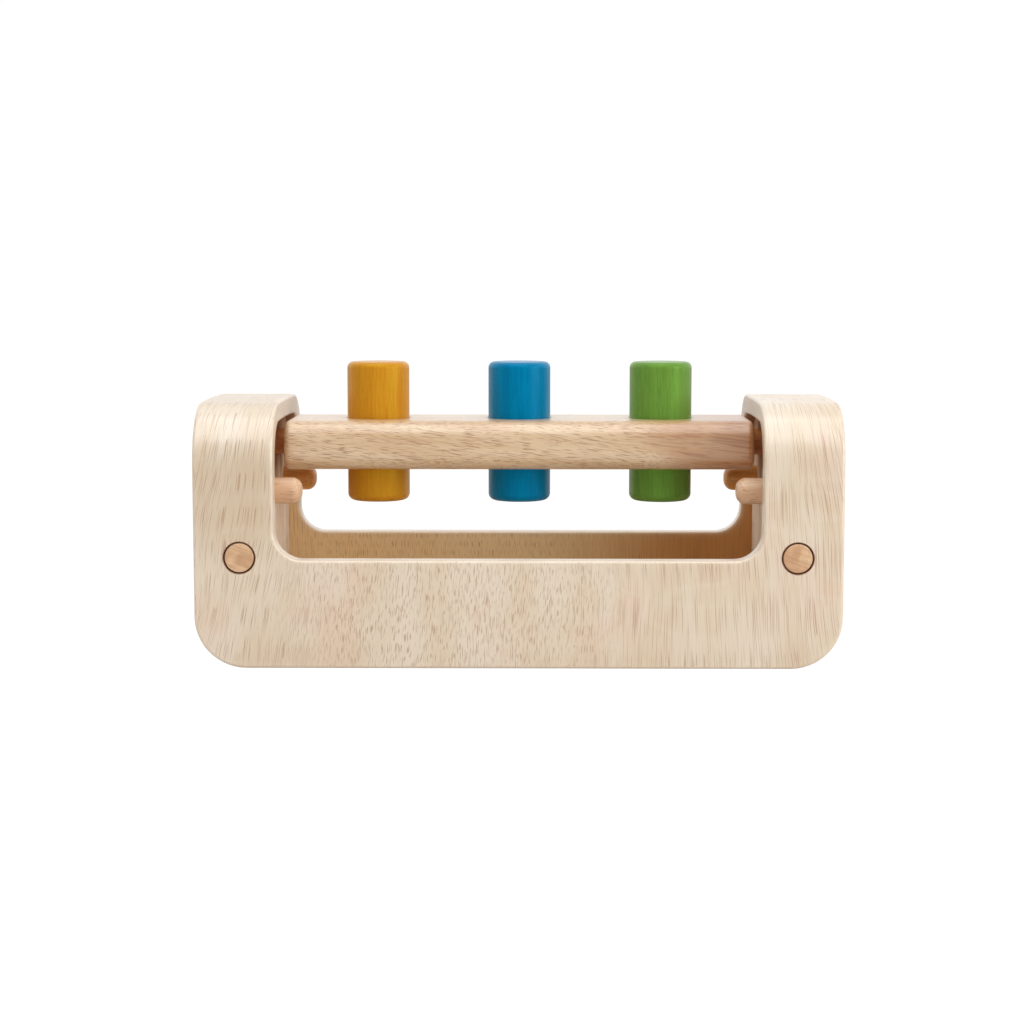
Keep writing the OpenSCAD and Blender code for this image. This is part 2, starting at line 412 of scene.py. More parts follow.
    def vessels(self, mix: Recipe, grain: Socket, x: Socket, drift: Socket) -> Socket:
        """Lays streaks on the left arch, short dashes left of the middle and long lines on the right.

        Args:
            mix: The finish to add to.
            grain: Place along the grain, in metres.
            x: Place along the bench, in metres.
            drift: Soft noise about 0 that makes the borders uneven.

        Returns:
            1 in a vessel.
        """
        cluster = mix.noise(grain, self.cluster_cell, shift=2.4)
        crowd = mix.ramp(cluster, *WIDE_NOISE_SPAN, *self.crowding)
        uneven = mix.math("MULTIPLY_ADD", drift, self.border_reach, x)
        right = mix.ramp(uneven, *self.lines_span)
        left = mix.ramp(uneven, *self.streaks_span)
        middle = mix.math("SUBTRACT", mix.math("SUBTRACT", 1.0, right), left)
        shares = ((self.streaks, left), (self.dashes, middle), (self.lines, right))
        laid = [mix.math("MULTIPLY", kind.lay(mix, grain, crowd), share) for kind, share in shares]
        return mix.math("ADD", mix.math("ADD", laid[0], laid[1]), laid[2])

    def left_arch_painted_shade(self, mix: Recipe, colour: Socket, at: dict[str, Socket]) -> Socket:
        """Paints shade on the left arch, which is darker because the light comes from the right, and leaves
        its bends paler as a painted highlight.

        Args:
            mix: The finish to add to.
            colour: The colour so far.
            at: Place on the flat sheet by axis, in metres.

        Returns:
            The colour with the painted shade on its left arch.
        """
        length = mix.math("ABSOLUTE", at["Y"])
        from_bend = mix.math("ABSOLUTE", mix.math("SUBTRACT", length, self.bend_at))
        # The bends are left out of the painted shade, so they stay paler as a painted highlight.
        off_painted_highlight = mix.ramp(from_bend, *self.highlight_span)
        on_arch = mix.math("MULTIPLY", mix.ramp(length, *self.arch_span), off_painted_highlight)
        on_left = mix.ramp(at["X"], *self.left_span, 0.0, self.left_shade_share)
        return mix.blend(mix.math("MULTIPLY", on_arch, on_left), colour, self.deep)

    def inner_painted_light(self, mix: Recipe, colour: Socket, at: dict[str, Socket]) -> Socket:
        """Paints light and shade on the faces between the cheeks as colour: a warm tint for the bounce light
        in the trough, painted shade that deepens to the right where the right arch shades it, and brown
        painted shade under the top. The coat grows duller to the right.

        Args:
            mix: The finish to add to. Its coat is fed here.
            colour: The colour so far.
            at: Place on the flat sheet by axis, in metres.

        Returns:
            The colour with its painted light and shade on the inner faces.
        """
        to_right_shade = mix.ramp(at["X"], *self.right_shade_span)
        painted_tint = mix.blend(to_right_shade, self.inner, self.inner_right_shade)
        under_top_shade = mix.ramp(mix.math("ABSOLUTE", at["Y"]), *self.shade_span)
        painted_tint = mix.blend(under_top_shade, painted_tint, self.shade)
        to_back = mix.ramp(at["Y"], *self.back_span, *self.back_share)
        # The painted light lies on the inner faces only. It is stronger on the back panel and stays between
        # the cheeks.
        inside = mix.math("MULTIPLY", mix.ramp(at["Z"], *self.inner_depth), to_back)
        between = mix.ramp(mix.math("ABSOLUTE", at["X"]), *self.cheek_span)
        inside = mix.math("MULTIPLY", inside, between)
        dull = mix.math("MULTIPLY", inside, to_right_shade)
        coat = mix.ramp(dull, 0.0, max(self.back_share), self.coat, self.inner_coat)
        mix.feed(mix.shader.inputs["Coat Weight"], coat)
        return mix.blend(inside, colour, painted_tint)

    def cut_edge(self, mix: Recipe, colour: Socket, edge: Socket, depth: Socket) -> Socket:
        """Lightens the cut edges and draws the plies on them.

        Args:
            mix: The finish to add to.
            colour: The colour of the face.
            edge: 1 on a cut edge, falling to 0 on the faces.
            depth: Depth under the outer face, in metres.

        Returns:
            The colour with its edges.
        """
        colour = mix.blend(mix.math("MULTIPLY", edge, self.edge_share), colour, self.edge)
        layer = mix.math("PINGPONG", depth, self.ply)
        ply_here = mix.ramp(edge, *self.edge_span, 0.0, self.ply_share)
        plies = mix.math("MULTIPLY", mix.ramp(layer, 0.0, self.ply), ply_here)
        colour = mix.blend(plies, colour, self.glue)
        seam_here = mix.ramp(edge, *self.edge_span, 0.0, self.seam_share)
        seam = mix.math("MULTIPLY", mix.ramp(layer, *self.seam_span), seam_here)
        return mix.blend(seam, colour, self.glue)


@dataclass(frozen=True)
class SolidWood:
    """Solid timber under clear satin lacquer: bands, fibres and vessels along one axis."""

    name: str
    grain: Grain
    light: Colour
    dark: Colour
    vessel: Colour = tone(146, 86, 40)
    # far: a darker tone between two places along the grain. It is painted shade on the cheeks, and on the bar
    # partly its own wood and partly painted shadow.
    far: Colour = tone(176, 124, 78)
    far_place: Span = (1.0, 2.0)
    far_uneven: float = 0.05
    far_within: float = 1.0
    far_border: float = 0.004
    far_share: float = 0.75
    slant: float = 0.0
    sway: float = 0.004
    sway_cell: Cell = (0.016, 0.045, 0.016)
    band: float = 0.007
    band_length: float = 0.09
    fibre_cell: Cell = (0.00035, 0.020, 0.00035)
    fibre_share: float = 0.25
    fibre_height: float = 0.25
    cluster_cell: Cell = (0.006, 0.030, 0.006)
    crowding: Span = (-0.06, 0.04)
    dashes: Vessels = Vessels(0.00034, 0.0070, 0.610)
    lines: Vessels = Vessels(0.00036, 0.0260, 0.595, shift=4.7)
    strength: float = 0.5
    coat: float = 0.8
    gloss: float = 0.5
    roughness: Span = (0.33, 0.46)
    relief: float = 0.000015

    def material(self) -> bpy.types.Material:
        """Builds the finish from the place in the part's frame, with the grain along its axis.

        Returns:
            The material, which turns to its far tone and to longer vessels between the two far places,
            where |x| is under far_within. The far tone is painted shade on the cheeks; on the bar it is
            partly the wood's own colour and partly painted shadow.
        """
        mix = Recipe(
            self.name,
            Coat_Weight=self.coat, Coat_Roughness=0.28, Coat_IOR=1.9, Specular_IOR_Level=self.gloss,
        )
        at = mix.parts(mix.place())
        first, along, third = (at[axis] for axis in self.grain.value)
        grain = mix.joined(first, along, mix.math("MULTIPLY_ADD", along, self.slant, third))
        drift = mix.math("SUBTRACT", mix.noise(grain, self.sway_cell, 1.0), 0.5)
        aside = (self.sway, 0.0, self.sway)
        grain = mix.vector("MULTIPLY_ADD", mix.joined(drift, drift, drift), aside, grain)
        far = mix.ramp(mix.math("MULTIPLY_ADD", drift, self.far_uneven, along), *self.far_place)
        from_middle = mix.math("ABSOLUTE", at["X"])
        within = mix.ramp(from_middle, self.far_within + self.far_border, self.far_within)
        far = mix.math("MULTIPLY", far, within)
        band = mix.noise(grain, (self.band, self.band_length, self.band))
        fibre = mix.noise(grain, self.fibre_cell)
        vessels = self.vessels(mix, grain, far)
        colour = mix.blend(mix.ramp(band, 0.32, 0.68), self.light, self.dark)
        # Lays the far tone: painted shade, and on the bar also the wood's own deeper colour.
        colour = mix.blend(mix.math("MULTIPLY", far, self.far_share), colour, self.far)
        colour = mix.blend(mix.ramp(fibre, 0.45, 0.8, 0.0, self.fibre_share), colour, self.vessel)
        colour = mix.blend(mix.math("MULTIPLY", vessels, self.strength), colour, self.vessel)
        roughness = mix.ramp(fibre, *NOISE_SPAN, *self.roughness)
        height = mix.math("SUBTRACT", mix.math("MULTIPLY", fibre, self.fibre_height), vessels)
        return mix.finish(colour, roughness, height, self.relief)

    def vessels(self, mix: Recipe, grain: Socket, far: Socket) -> Socket:
        """Lays short dashes, which give way to lines where the wood turns to its far tone.

        Args:
            mix: The finish to add to.
            grain: Place along the grain, in metres.
            far: 1 where the wood has its far tone, which carries painted shade.

        Returns:
            1 in a vessel.
        """
        cluster = mix.noise(grain, self.cluster_cell, shift=2.4)
        crowd = mix.ramp(cluster, *WIDE_NOISE_SPAN, *self.crowding)
        near = mix.math("SUBTRACT", 1.0, far)
        short = mix.math("MULTIPLY", self.dashes.lay(mix, grain, crowd), near)
        return mix.math("ADD", short, mix.math("MULTIPLY", self.lines.lay(mix, grain, crowd), far))


@dataclass(frozen=True)
class EndGrain:
    """End of a dowel: slanting growth layers, fine pores and a darker cloud."""

    name: str
    light: Colour
    dark: Colour
    pore: Colour
    slant: float = 0.35
    layer_cell: Cell = (0.012, 0.0009, 0.02)
    layer_share: float = 0.32
    cloud_cell: Cell = (0.007, 0.02, 0.007)
    pore_cell: Cell = (0.0003, 0.01, 0.0003)
    pore_share: float = 0.4
    roughness: Span = (0.36, 0.48)
    relief: float = 0.00001

    def material(self) -> bpy.types.Material:
        """Builds the finish from the place in the part's frame, with the layers slanting across X and Z.

        Returns:
            The material.
        """
        mix = Recipe(self.name, Coat_Weight=0.4, Coat_Roughness=0.2)
        at = mix.parts(mix.place())
        rise = mix.math("MULTIPLY_ADD", at["X"], self.slant, at["Z"])
        layers = mix.noise(mix.joined(at["X"], rise, at["Y"]), self.layer_cell)
        cloud = mix.noise(mix.place(), self.cloud_cell)
        pores = mix.noise(mix.place(), self.pore_cell, 1.0)
        colour = mix.blend(mix.ramp(cloud, 0.35, 0.65), self.light, self.dark)
        colour = mix.blend(mix.ramp(layers, 0.45, 0.75, 0.0, self.layer_share), colour, self.pore)
        colour = mix.blend(mix.ramp(pores, 0.55, 0.75, 0.0, self.pore_share), colour, self.pore)
        return mix.finish(colour, mix.ramp(layers, *NOISE_SPAN, *self.roughness), pores, self.relief)


@dataclass(frozen=True)
class Stain:
    """Coloured stain under clear lacquer: the grain shows through as fine streaks."""

    name: str
    light: Colour
    deep: Colour
    sheen: Colour
    band_cell: Cell = (0.004, 0.12, 0.004)
    band_share: Span = (0.25, 0.6)
    fibre_cell: Cell = (0.0005, 0.018, 0.0005)
    fibre_share: Span = (-0.2, 0.8)
    fibre_height: float = 0.3
    dashes: Vessels = Vessels(0.0004, 0.006, 0.64)
    strength: float = 0.4
    roughness: Span = (0.26, 0.36)
    relief: float = 0.00003

    def material(self) -> bpy.types.Material:
        """Builds the finish from the place in the part's frame, with the grain upright.

        Returns:
            The material.
        """
        mix = Recipe(
            self.name,
            Coat_Weight=0.05, Coat_Roughness=0.12, Specular_IOR_Level=0.6, Specular_Tint=self.sheen,
        )
        at = mix.parts(mix.place())
        grain = mix.joined(at["X"], at["Z"], at["Y"])
        band = mix.noise(grain, self.band_cell)
        fibre = mix.noise(grain, self.fibre_cell)
        vessels = self.dashes.lay(mix, grain, 0.0)
        colour = mix.blend(mix.ramp(band, *NOISE_SPAN, *self.band_share), self.light, self.deep)
        colour = mix.blend(mix.ramp(fibre, 0.35, 0.7, *self.fibre_share), colour, self.deep)
        colour = mix.blend(mix.math("MULTIPLY", vessels, self.strength), colour, self.deep)
        roughness = mix.ramp(fibre, *NOISE_SPAN, *self.roughness)
        height = mix.math("SUBTRACT", mix.math("MULTIPLY", fibre, self.fibre_height), vessels)
        return mix.finish(colour, roughness, height, self.relief)


@dataclass(frozen=True)
class Rubber:
    """Matt black rubber with a fine bloom."""

    body: Colour = tone(38, 38, 38)
    bloom: Colour = tone(66, 66, 64)
    bloom_cell: Cell = (0.0006, 0.0006, 0.0006)
    roughness: Span = (0.6, 0.8)
    relief: float = 0.00003

    def material(self) -> bpy.types.Material:
        """Builds the finish from the place in the part's frame.

        Returns:
            The material.
        """
        mix = Recipe("grip_rubber")
        speckle = mix.noise(mix.place(), self.bloom_cell, 3.0)
        colour = mix.blend(mix.ramp(speckle, 0.4, 0.7), self.body, self.bloom)
        return mix.finish(colour, mix.ramp(speckle, *NOISE_SPAN, *self.roughness), speckle, self.relief)


@dataclass
class Skin:
    """Points and faces of one closed surface, with values kept at each point."""

    points: Array
    quads: Array
    kept: dict[str, Array] = field(default_factory=dict)

    def piece(self, name: str) -> bpy.types.Object:
        """Makes the object: welds doubled points, turns all faces outwards and shades it smooth.

        Args:
            name: The piece's name.

        Returns:
            The object, at the origin.
        """
        mesh = bpy.data.meshes.new(name)
        mesh.from_pydata(self.points.tolist(), [], self.quads.tolist())
        for key, values in self.kept.items():
            if values.ndim == 2:
                mesh.attributes.new(key, "FLOAT_VECTOR", "POINT").data.foreach_set("vector", values.ravel())
            else:
                mesh.attributes.new(key, "FLOAT", "POINT").data.foreach_set("value", values)
        work = bmesh.new()
        work.from_mesh(mesh)
        bmesh.ops.remove_doubles(work, verts=work.verts[:], dist=WELD)
        bmesh.ops.recalc_face_normals(work, faces=work.faces[:])
        work.to_mesh(mesh)
        work.free()
        mesh.polygons.foreach_set("use_smooth", np.ones(len(mesh.polygons), bool))
        made = bpy.data.objects.new(name, mesh)
        bpy.context.scene.collection.objects.link(made)
        return made


def dressed(nodes: tuple[str, ...], finish: SolidWood | EndGrain | Stain | Rubber) -> list[bpy.types.Object]:
    """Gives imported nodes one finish.

    Args:
        nodes: The nodes' names.
        finish: What they are dressed in.

    Returns:
        The nodes' objects.
    """
    material = finish.material()
    made = [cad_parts[node] for node in nodes]
    for piece in made:
        piece.data.materials.clear()
        piece.data.materials.append(material)
    return made


@dataclass
class Lattice:
    """Ring of stations round the window, laid on the flat sheet."""

    plan: Array
    depth: Array
    edge: Array
    face: Array
    outer_rows: Array
    inner_rows: Array


@dataclass
class BentShell:
    """Sheet bent into an upside-down U, with a window through front, top and back, and four pin holes."""

    width: float = 0.250
    depth: float = 0.104
    height: float = 0.102
    thickness: float = 0.008
    bend_r: float = 0.023
    crown_r: float = 1.2
    foot_corner_r: float = 0.020
    arch_w: float = 0.031
    sill_h: float = 0.042
    window_r: float = 0.011
    edge_r: float = 0.0012
    pin_hole_r: float = 0.00605
    pin_rim_r: float = 0.0003
    pin_brim: float = 0.00008
    pin_margin: float = 0.0016
    edge_share: float = 0.4
    edge_fade: float = 0.0008
    side_steps: int = 56
    corner_steps: int = 40
    sill_steps: int = 28
    face_steps: int = 26
    edge_steps: int = 6
    wall_steps: int = 6
    ease_steps: int = 4
    finish: SheetWood = SheetWood()

    @property
    def lean(self) -> float:
        """Angle at which the crown runs into the bend."""
        return math.asin((self.depth / 2 - self.bend_r) / (self.crown_r - self.bend_r))

    @property
    def crown_length(self) -> float:
        """Length of the outer face from the middle of the top to the start of the bend."""
        return self.crown_r * self.lean

    @property
    def bend_length(self) -> float:
        """Length of the outer face round the bend."""
        return self.bend_r * (QUARTER_TURN - self.lean)

    @property
    def bend_h(self) -> float:
        """Height of the bend's centre."""
        return self.height - self.crown_r + (self.crown_r - self.bend_r) * math.cos(self.lean)

    @property
    def half_length(self) -> float:
        """Length of the outer face from the middle of the top to a foot."""
        return self.crown_length + self.bend_length + self.bend_h

    @property
    def fan(self) -> tuple[float, float]:
        """Centre of the window's rounded corner on the flat sheet."""
        return self.width / 2 - self.arch_w - self.window_r, self.half_length - self.sill_h - self.window_r

    @property
    def rays(self) -> tuple[Array, Array]:
        """Cosine and sine of the rays from that centre through the corner, without the first and last one."""
        angle = np.linspace(0, QUARTER_TURN, self.corner_steps + 1)[1:-1]
        return np.cos(angle), np.sin(angle)

    def quarter(self, corner_x: Array, corner_s: Array, side_x: Array, sill_s: Array) -> Array:
        """Joins the side, corner and sill of one quarter of a boundary and mirrors it round the sheet.

        Args:
            corner_x, corner_s: The corner's points, one row for each inset.
            side_x: The side's x for each inset.
            sill_s: The sill's or foot's length from the top for each inset.

        Returns:
            Closed boundaries as (inset, point, x and s).
        """
        fan_x, fan_s = self.fan
        down = np.linspace(0, fan_s, self.side_steps + 1)
        inwards = np.linspace(fan_x, 0, self.sill_steps + 1)
        rows = (len(side_x), 1)
        x = np.hstack([np.tile(side_x[:, None], len(down)), corner_x, np.tile(inwards, rows)])
        s = np.hstack([np.tile(down, rows), corner_s, np.tile(sill_s[:, None], len(inwards))])
        one = np.stack([x, s], axis=-1)
        back = one[:, ::-1]
        turns = [one, back[:, 1:] * (-1, 1), one[:, 1:] * (-1, -1), back[:, 1:-1] * (1, -1)]
        return np.concatenate(turns, axis=1)

    def outer_boundary(self, inset: Array) -> Array:
        """Draws the sheet's outer edge: each ray ends on the side, the foot or the corner arc.

        Args:
            inset: How far each boundary is drawn in.

        Returns:
            Closed boundaries as (inset, point, x and s).
        """
        fan_x, fan_s = self.fan
        cos, sin = self.rays
        side_x = self.width / 2 - inset
        foot_s = self.half_length - inset
        arc_x, arc_s = self.width / 2 - self.foot_corner_r, self.half_length - self.foot_corner_r
        arc_r = (self.foot_corner_r - inset)[:, None]
        toward = (fan_x - arc_x) * cos + (fan_s - arc_s) * sin
        apart = (fan_x - arc_x) ** 2 + (fan_s - arc_s) ** 2
        reach_arc = np.sqrt(np.maximum(toward**2 - apart + arc_r**2, 0)) - toward
        reach_flat = np.minimum((side_x[:, None] - fan_x) / cos, (foot_s[:, None] - fan_s) / sin)
        in_corner = (fan_x + reach_flat * cos > arc_x) & (fan_s + reach_flat * sin > arc_s)
        reach = np.where(in_corner, reach_arc, reach_flat)
        return self.quarter(fan_x + reach * cos, fan_s + reach * sin, side_x, foot_s)

    def window_boundary(self, inset: Array) -> Array:
        """Draws the window's edge: the sides move and the corner arcs grow by the inset.

        Args:
            inset: How far each boundary is drawn into the wood.

        Returns:
            Closed boundaries as (inset, point, x and s).
        """
        fan_x, fan_s = self.fan
        cos, sin = self.rays
        reach = (self.window_r + inset)[:, None]
        side_x = self.width / 2 - self.arch_w + inset
        return self.quarter(fan_x + reach * cos, fan_s + reach * sin, side_x, fan_s + self.window_r + inset)

    def bent(self, flat: Array) -> Array:
        """Bends flat sheet points into place.

        A point at length s from the middle of the top and depth d under the outer face goes along the
        crown on an arc of radius crown_r - d, then round the bend on an arc of radius bend_r - d, then
        straight down the panel.

        Args:
            flat: Points as (x, s, d).

        Returns:
            Points in the part's frame.
        """
        x, s, d = flat.T
        length = np.abs(s)
        on_crown = length < self.crown_length
        turn = self.lean + np.clip((length - self.crown_length) / self.bend_r, 0, QUARTER_TURN - self.lean)
        turn = np.where(on_crown, length / self.crown_r, turn)
        radius = np.where(on_crown, self.crown_r, self.bend_r) - d
        centre_y = np.where(on_crown, 0, self.depth / 2 - self.bend_r)
        centre_z = np.where(on_crown, self.height - self.crown_r, self.bend_h)
        drop = np.maximum(length - self.crown_length - self.bend_length, 0)
        y = np.sign(s) * (centre_y + radius * np.sin(turn))
        return np.stack([x, y, centre_z + radius * np.cos(turn) - drop], axis=1)

    def edge_section(self, radius: float) -> tuple[Array, Array]:
        """A cut edge's section: a quarter round, a straight wall and a quarter round.

        Args:
            radius: Radius of the quarter rounds.

        Returns:
            Inset and depth of each station, from the outer face to the inner face.
        """
        turn = np.linspace(0, QUARTER_TURN, self.edge_steps + 1)
        inset, depth = radius * (1 - np.sin(turn)), radius * (1 - np.cos(turn))
        wall = np.linspace(radius, self.thickness - radius, self.wall_steps + 1)[1:-1]
        return (
            np.concatenate([inset, np.zeros_like(wall), inset[::-1]]),
            np.concatenate([depth, wall, (self.thickness - depth)[::-1]]),
        )

    def lattice(self) -> Lattice:
        """Lays the stations across the outer face, over the window's edge, inside and over the outer edge.

        Returns:
            The lattice, with the rows of point numbers on both faces.
        """
        inset, depth = self.edge_section(self.edge_r)
        window, outer = self.window_boundary(inset), self.outer_boundary(inset)
        share = (0.5 - 0.5 * np.cos(np.linspace(0, math.pi, self.face_steps + 1)))[1:-1, None, None]
        face = outer[0] * (1 - share) + window[0] * share
        gaps = np.stack([np.linalg.norm(face - outer[0], axis=-1), np.linalg.norm(face - window[0], axis=-1)])
        face_edge = self.edge_share * np.exp(-gaps.min(0) / self.edge_fade)
        columns = np.ones((1, window.shape[1]))
        edge_edge = np.clip(1 - (1 - self.edge_share) * inset / self.edge_r, 0, 1)[:, None] * columns
        levels = np.concatenate([np.zeros(len(face)), depth, np.full(len(face), self.thickness), depth[::-1]])
        plan = np.concatenate([face, window, face[::-1], outer[::-1]])
        numbers = np.arange(plan.shape[0] * plan.shape[1]).reshape(plan.shape[:2])
        inner_from = len(face) + len(depth)
        return Lattice(
            plan,
            levels[:, None] * columns,
            np.concatenate([face_edge, edge_edge, face_edge[::-1], edge_edge]),
            face,
            numbers[: len(face)],
            numbers[inner_from: inner_from + len(face)][::-1],
        )

    def pin_hole(self, net: Lattice, centre: Array, first: int) -> tuple[Array, Array, tuple[slice, slice]]:
        """Lets one round hole into the lattice.

        A block of the lattice round the hole gives way to a tube: from the block's border inwards to the
        rim, round the rim, through the sheet and out again on the inner face.

        Args:
            net: The lattice.
            centre: The hole's centre on the flat sheet.
            first: Number of the first new point.

        Returns:
            New points as (x, s, d), the tube's faces and the block that gives way.
        """
        close = np.linalg.norm(net.face - centre, axis=-1) < self.pin_hole_r + self.pin_margin
        rows, cols = np.nonzero(close.any(1))[0], np.nonzero(close.any(0))[0]
        r0, r1, c0, c1 = rows[0] - 1, rows[-1] + 1, cols[0] - 1, cols[-1] + 1
        down, over = np.arange(r0, r1), np.arange(c0, c1)
        loop_r = np.concatenate([np.full(len(over), r0), down, np.full(len(over), r1), down[::-1] + 1])
        loop_c = np.concatenate([over, np.full(len(down), c1), over[::-1] + 1, np.full(len(down), c0)])
        away = net.face[loop_r, loop_c] - centre
        reach = np.linalg.norm(away, axis=1)
        inset, depth = self.edge_section(self.pin_rim_r)
        rim = self.pin_hole_r + self.pin_rim_r
        brim = rim + self.pin_brim
        ease = brim + (reach - brim) * np.linspace(1, 0, self.ease_steps + 1)[:, None]
        bore = (self.pin_hole_r + inset)[:, None] * np.ones_like(reach)
        radius = np.concatenate([ease, bore, ease[::-1]])
        level = np.concatenate([np.zeros(len(ease)), depth, np.full(len(ease), self.thickness)])
        ring = centre + (away / reach[:, None]) * radius[..., None]
        levels = np.broadcast_to(level[:, None, None], (*radius.shape, 1))
        tube = np.concatenate([ring, levels], axis=-1)[1:-1]
        fresh = first + np.arange(tube.shape[0] * tube.shape[1]).reshape(tube.shape[:2])
        outer, inner = (side[loop_r, loop_c][None] for side in (net.outer_rows, net.inner_rows))
        numbers = np.concatenate([outer, fresh, inner])
        beside = np.roll(numbers, -1, axis=1)
        quads = np.stack([numbers[:-1], beside[:-1], beside[1:], numbers[1:]], axis=-1)
        return tube.reshape(-1, 3), quads.reshape(-1, 4), (slice(r0, r1), slice(c0, c1))

    def skin(self) -> Skin:
        """Closes the lattice round its section, lets in the four pin holes and bends the whole.

        Returns:
            The closed surface, with the flat coordinates and the nearness of a cut edge kept at each point.
        """
        net = self.lattice()
        index = np.arange(net.edge.size).reshape(net.edge.shape)
        keep = np.ones(index.size, bool)
        flat = [np.concatenate([net.plan, net.depth[..., None]], axis=-1).reshape(-1, 3)]
        edges, quads, count = [net.edge.ravel()], [], index.size
        pin_low, pin_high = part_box("right_back_pin")
        pin = np.array([(pin_low.x + pin_high.x) / 2, self.half_length - (pin_low.z + pin_high.z) / 2])
        for mirror in ((1, 1), (-1, 1), (-1, -1), (1, -1)):
            points, faces, (rows, cols) = self.pin_hole(net, pin * mirror, count)
            keep[net.outer_rows[rows, cols]] = False
            keep[net.inner_rows[rows.start + 1: rows.stop + 1, cols]] = False
            flat.append(points)
            apart = np.linalg.norm(points[:, :2] - pin * mirror, axis=1) - self.pin_hole_r - self.pin_rim_r
            edges.append(np.where(apart < WELD, -1.0, 0.0))
            quads.append(faces)
            count += len(points)
        below, beside = np.roll(index, -1, axis=0), np.roll(index, -1, axis=1)
        net_quads = np.stack([index, below, np.roll(below, -1, axis=1), beside], axis=-1).reshape(-1, 4)[keep]
        flat_points = np.concatenate(flat)
        return Skin(
            self.bent(flat_points),
            np.concatenate([net_quads, *quads]),
            {"sheet": flat_points, "edge": np.concatenate(edges)},
        )

    def build(self) -> list[bpy.types.Object]:
        """Makes the sheet in place of its node and dresses it.

        Returns:
            The piece.
        """
        sheet = self.skin().piece("bent_shell")
        sheet.data.materials.append(self.finish.material())
        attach(sheet, "bench")
        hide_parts("bench_shell")
        return [sheet]


@dataclass
class EndFrames:
    """Cheeks inside the arches with their stop dowels and fixing pins."""

    # The cheeks' far tone is painted shade: darker brown towards the top of their inner faces, under the arch
    # top.
    cheek: SolidWood = SolidWood(
        "cheek_wood", Grain.ALONG_Z, tone(252, 236, 214), tone(242, 218, 192),
        far=tone(150, 90, 52), far_place=(0.056, 0.080), far_within=0.106, coat=0.0, gloss=0.0,
    )
    front_stop: SolidWood = SolidWood(
        "dowel_wood", Grain.ALONG_X, tone(240, 206, 172), tone(228, 186, 148),
        band=0.004, strength=0.4, coat=0.2,
    )
    # The back stops are a darker copy of the front stops' dowel wood: painted shade for the bar's shadow over
    # them.
    back_stop: SolidWood = SolidWood(
        "shaded_dowel_wood", Grain.ALONG_X, tone(232, 164, 84), tone(216, 144, 66),
        band=0.004, strength=0.4, coat=0.2,
    )
    pin: EndGrain = EndGrain("pin_wood", tone(231, 194, 153), tone(202, 157, 118), tone(150, 100, 62))

    def build(self) -> list[bpy.types.Object]:
        """Dresses the cheeks, the stop dowels and the fixing pins.

        Returns:
            Their objects.
        """
        return [
            *dressed(("left_cheek", "right_cheek"), self.cheek),
            *dressed(("left_front_stop", "right_front_stop"), self.front_stop),
            *dressed(("left_back_stop", "right_back_stop"), self.back_stop),
            *dressed(("left_front_pin", "left_back_pin", "right_front_pin", "right_back_pin"), self.pin),
        ]


@dataclass
class TurningBar:
    """Bar with its axle dowels and the rubber rings in its holes."""

    # The bar's far tone at its right end is partly its own deeper orange wood and partly painted shadow of
    # the right arch.
    bar: SolidWood = SolidWood(
        "bar_wood", Grain.ALONG_X, tone(226, 199, 162), tone(211, 175, 131),
        far=tone(174, 106, 46), far_place=(0.045, 0.085), slant=0.13, band=0.006,
        dashes=Vessels(0.00030, 0.0056, 0.586), lines=Vessels(0.00050, 0.0180, 0.570, shift=4.7),
        strength=0.62, coat=0.9,
    )
    axle: SolidWood = SolidWood(
        "axle_wood", Grain.ALONG_X, tone(226, 146, 80), tone(206, 126, 64), strength=0.4, coat=0.1,
    )
    ring: Rubber = Rubber()

    def build(self) -> list[bpy.types.Object]:
        """Dresses the bar, the axle dowels and the rings.

        Returns:
            Their objects.
        """
        rings = tuple(f"{spot}_grip_ring" for spot in ("left", "middle", "right"))
        return [
            *dressed(("peg_bar",), self.bar),
            *dressed(("left_axle", "right_axle"), self.axle),
            *dressed(rings, self.ring),
        ]


@dataclass
class Pegs:
    """The three stained pegs."""

    yellow: Stain = Stain("yellow_stain", tone(212, 151, 41), tone(194, 118, 28), tone(225, 255, 40))
    blue: Stain = Stain("blue_stain", tone(0, 131, 177), tone(0, 107, 149), tone(0, 185, 255))
    green: Stain = Stain("green_stain", tone(116, 157, 69), tone(93, 130, 53), tone(150, 255, 70))

    def build(self) -> list[bpy.types.Object]:
        """Dresses the pegs.

        Returns:
            Their objects.
        """
        finishes = {"yellow_peg": self.yellow, "blue_peg": self.blue, "green_peg": self.green}
        return [piece for node, finish in finishes.items() for piece in dressed((node,), finish)]


@dataclass(frozen=True)
class Softbox:
    """Evenly lit panel that faces the bench."""

    name: str
    place: tuple[float, float, float]
    aim: tuple[float, float, float]
    width: float
    height: float
    glow: float

    def hang(self) -> None:
        """Hangs the panel: its power is its glow times its area times pi."""
        lamp = bpy.data.lights.new(self.name, "AREA")
        lamp.shape = "RECTANGLE"
        lamp.size, lamp.size_y = self.width, self.height
        lamp.energy = self.glow * math.pi * self.width * self.height
        made = bpy.data.objects.new(self.name, lamp)
        direction = Vector(self.aim) - Vector(self.place)
        made.location = self.place
        made.rotation_euler = direction.to_track_quat("-Z", "Y").to_euler()
        made.visible_camera = False
        bpy.context.scene.collection.objects.link(made)


